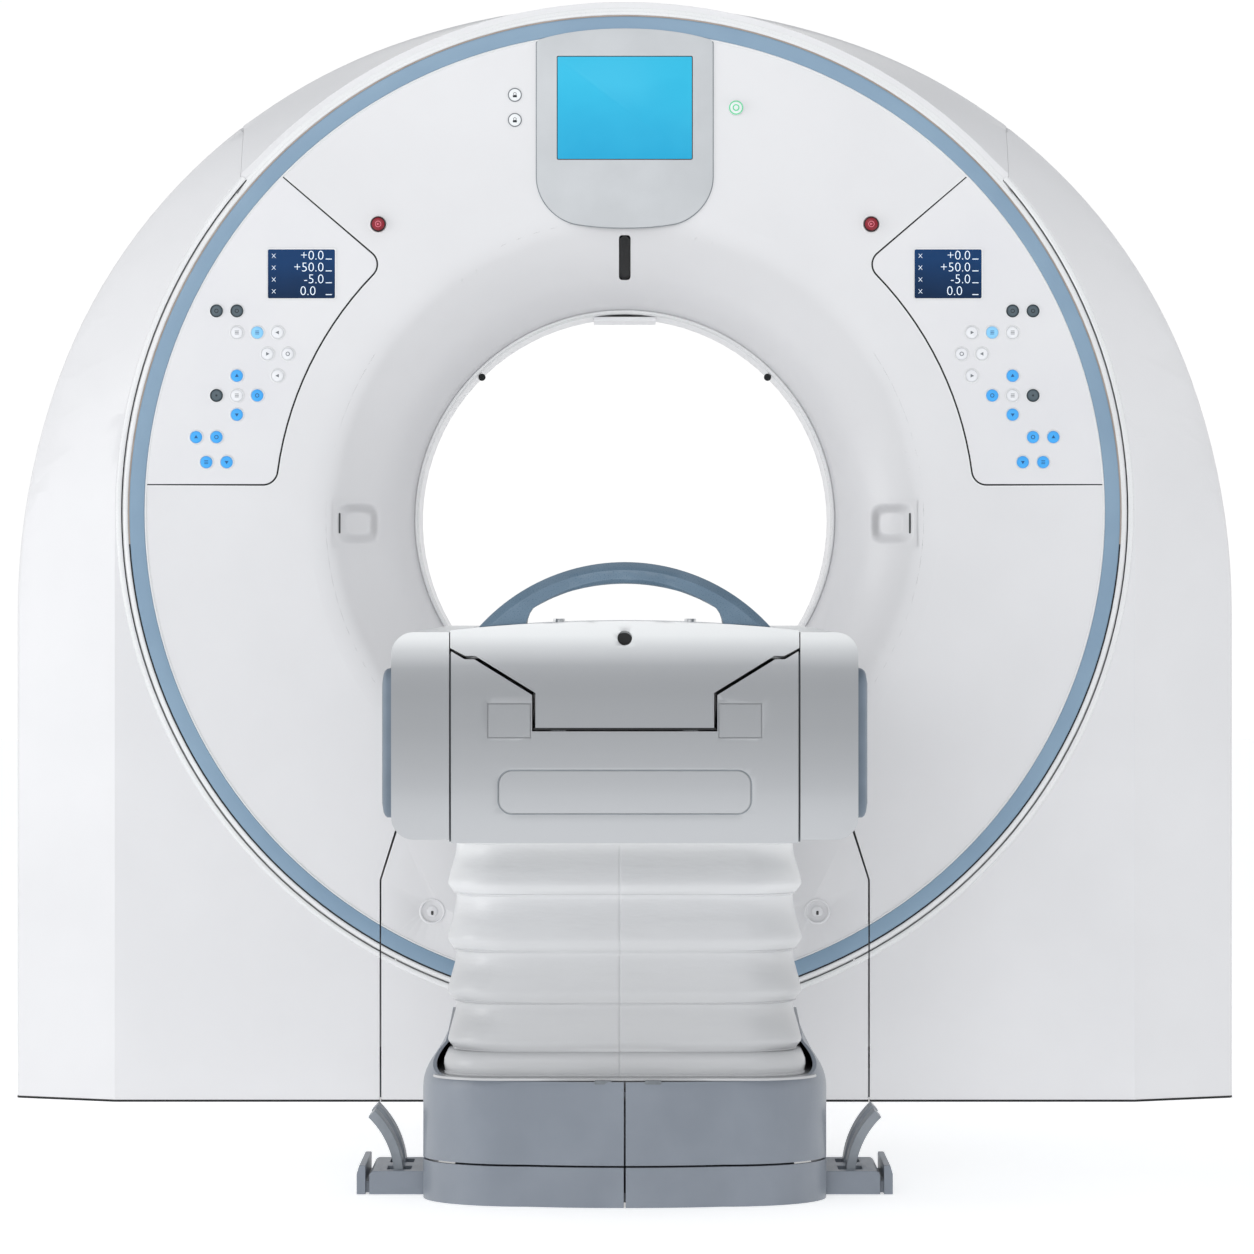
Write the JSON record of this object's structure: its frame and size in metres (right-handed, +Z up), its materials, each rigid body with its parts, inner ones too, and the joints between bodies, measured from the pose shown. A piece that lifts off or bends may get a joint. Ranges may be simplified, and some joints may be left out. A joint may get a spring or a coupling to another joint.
{
  "type": "ct scanner",
  "caption": "Tilting ring scanner on a floor stand, with a flared bore, control panels and a lifting couch on a pleated bellows whose top slides into the bore.",
  "frame": {"origin": "on the floor, straight below the isocentre, which is the middle of the bore", "axes": "+X to the right as seen from the couch's free end, +Y from the couch into the bore, +Z up"},
  "size_m": [2.296, 3.15, 2.066],
  "materials": {
    "white_cover": "satin gloss",
    "rim_white": "gloss",
    "ring_blue": "satin",
    "panel_grey": "satin",
    "screen_cyan": "gloss, lit",
    "readout_navy": "gloss, lit",
    "key_blue": "satin",
    "lamp_clear": "gloss",
    "stop_red": "gloss",
    "start_green": "gloss",
    "dark_insert": "satin",
    "window_smoke": "gloss",
    "tunnel_white": "satin",
    "lock_steel": "polished",
    "steel_frame": "semi-matt paint",
    "cast_alloy": "machined",
    "bearing_steel": "ground",
    "slip_brass": "turned",
    "couch_silver": "satin, silver",
    "couch_cover": "satin, silver",
    "pad_slate": "soft matt",
    "cradle_carbon": "satin",
    "handle_slate": "satin",
    "column_steel": "ground",
    "bellows_white": "glossy",
    "base_grey": "satin",
    "pedal_grey": "satin paint"
  },
  "bodies": {
    "stand": {"gantry_base_frame": "steel_frame", "stand_towers": "steel_frame", "right_stand_cover": "white_cover", "left_stand_cover": "white_cover", "lower_front_panel": "white_cover", "lower_rear_panel": "white_cover", "tilt_bearings": "bearing_steel", "tilt_drives": "steel_frame", "floor_link_plate": "steel_frame", "couch_base_frame": "steel_frame", "base_skirt": "base_grey", "base_cover": "base_grey", "column_outer": "column_steel", "lift_drive": "bearing_steel", "bellows": "bellows_white", "pedal_trays": "base_grey"},
    "gantry": {"tilt_frame": "cast_alloy", "tilt_trunnions": "bearing_steel", "rotor_bearing": "bearing_steel", "brush_block": "dark_insert", "front_cover": "white_cover", "service_panel": "white_cover", "service_panel_locks": "lock_steel", "flare_inserts": "dark_insert", "rear_cover": "white_cover", "front_ring": "ring_blue", "disc_rim": "rim_white", "top_hood": "white_cover", "bore_tunnel": "tunnel_white", "light_windows": "window_smoke", "display_panel": "panel_grey", "display_screen": "screen_cyan", "status_lamps": "lamp_clear", "consoles": "panel_grey", "readouts": "readout_navy", "console_keys": "key_blue"},
    "rotor": {"rotor_ring": "cast_alloy", "slip_ring": "slip_brass", "xray_tube": "steel_frame", "detector_arc": "steel_frame", "rotor_generators": "cast_alloy"},
    "left_stop": {"left_stop_button": "stop_red"},
    "right_stop": {"right_stop_button": "stop_red"},
    "start": {"start_button": "start_green"},
    "middle_column": {"column_middle": "column_steel"},
    "couch_top": {"column_inner": "column_steel", "couch_frame": "steel_frame", "carriage_rails": "bearing_steel", "right_side_cover": "couch_cover", "left_side_cover": "couch_cover", "side_pads": "pad_slate", "couch_end_cover": "couch_silver", "couch_end_panels": "couch_silver"},
    "cradle_top": {"carriage": "couch_silver", "cradle": "cradle_carbon", "push_handle": "handle_slate"},
    "right_front_lever": {"right_front_pedal": "pedal_grey"},
    "right_rear_lever": {"right_rear_pedal": "pedal_grey"},
    "left_front_lever": {"left_front_pedal": "pedal_grey"},
    "left_rear_lever": {"left_rear_pedal": "pedal_grey"}
  },
  "joints": [
    {"name": "gantry_tilt", "type": "hinge", "parent": "stand", "child": "gantry", "pos_m": [0, 0, 1.094], "axis": [-1, 0, 0], "range_deg": [-22, 22]},
    {"name": "rotor_spin", "type": "hinge", "parent": "gantry", "child": "rotor", "pos_m": [0, 0.078, 1.094], "axis": [0, 1, 0], "continuous": true},
    {"name": "couch_lift", "type": "slide", "parent": "stand", "child": "couch_top", "axis": [0, 0, 1], "range_m": [-0.31, 0], "deforming": ["bellows"]},
    {"name": "middle_column_lift", "type": "slide", "parent": "stand", "child": "middle_column", "axis": [0, 0, 1], "range_m": [-0.155, 0]},
    {"name": "cradle_slide", "type": "slide", "parent": "couch_top", "child": "cradle_top", "axis": [0, 1, 0], "range_m": [0, 1.8]},
    {"name": "left_stop_press", "type": "slide", "parent": "gantry", "child": "left_stop", "axis": [0, 1, 0], "range_m": [0, 0.003], "stiffness_N_per_m": 900, "springref_m": -0.002},
    {"name": "right_stop_press", "type": "slide", "parent": "gantry", "child": "right_stop", "axis": [0, 1, 0], "range_m": [0, 0.003], "stiffness_N_per_m": 900, "springref_m": -0.002},
    {"name": "start_press", "type": "slide", "parent": "gantry", "child": "start", "axis": [0, 1, 0], "range_m": [0, 0.003], "stiffness_N_per_m": 900, "springref_m": -0.002},
    {"name": "right_front_pedal_press", "type": "hinge", "parent": "stand", "child": "right_front_lever", "pos_m": [0.359, -2.205, 0.022], "axis": [0, 1, 0], "range_deg": [0, 12], "stiffness_Nm_per_rad": 8, "springref_deg": -11.46},
    {"name": "right_rear_pedal_press", "type": "hinge", "parent": "stand", "child": "right_rear_lever", "pos_m": [0.359, -2.075, 0.022], "axis": [0, 1, 0], "range_deg": [0, 12], "stiffness_Nm_per_rad": 8, "springref_deg": -11.46},
    {"name": "left_front_pedal_press", "type": "hinge", "parent": "stand", "child": "left_front_lever", "pos_m": [-0.359, -2.205, 0.022], "axis": [0, -1, 0], "range_deg": [0, 12], "stiffness_Nm_per_rad": 8, "springref_deg": -11.46},
    {"name": "left_rear_pedal_press", "type": "hinge", "parent": "stand", "child": "left_rear_lever", "pos_m": [-0.359, -2.075, 0.022], "axis": [0, -1, 0], "range_deg": [0, 12], "stiffness_Nm_per_rad": 8, "springref_deg": -11.46}
  ],
  "couplings": [
    {"joint": "middle_column_lift", "follows": "couch_lift", "ratio": 0.5}
  ]
}
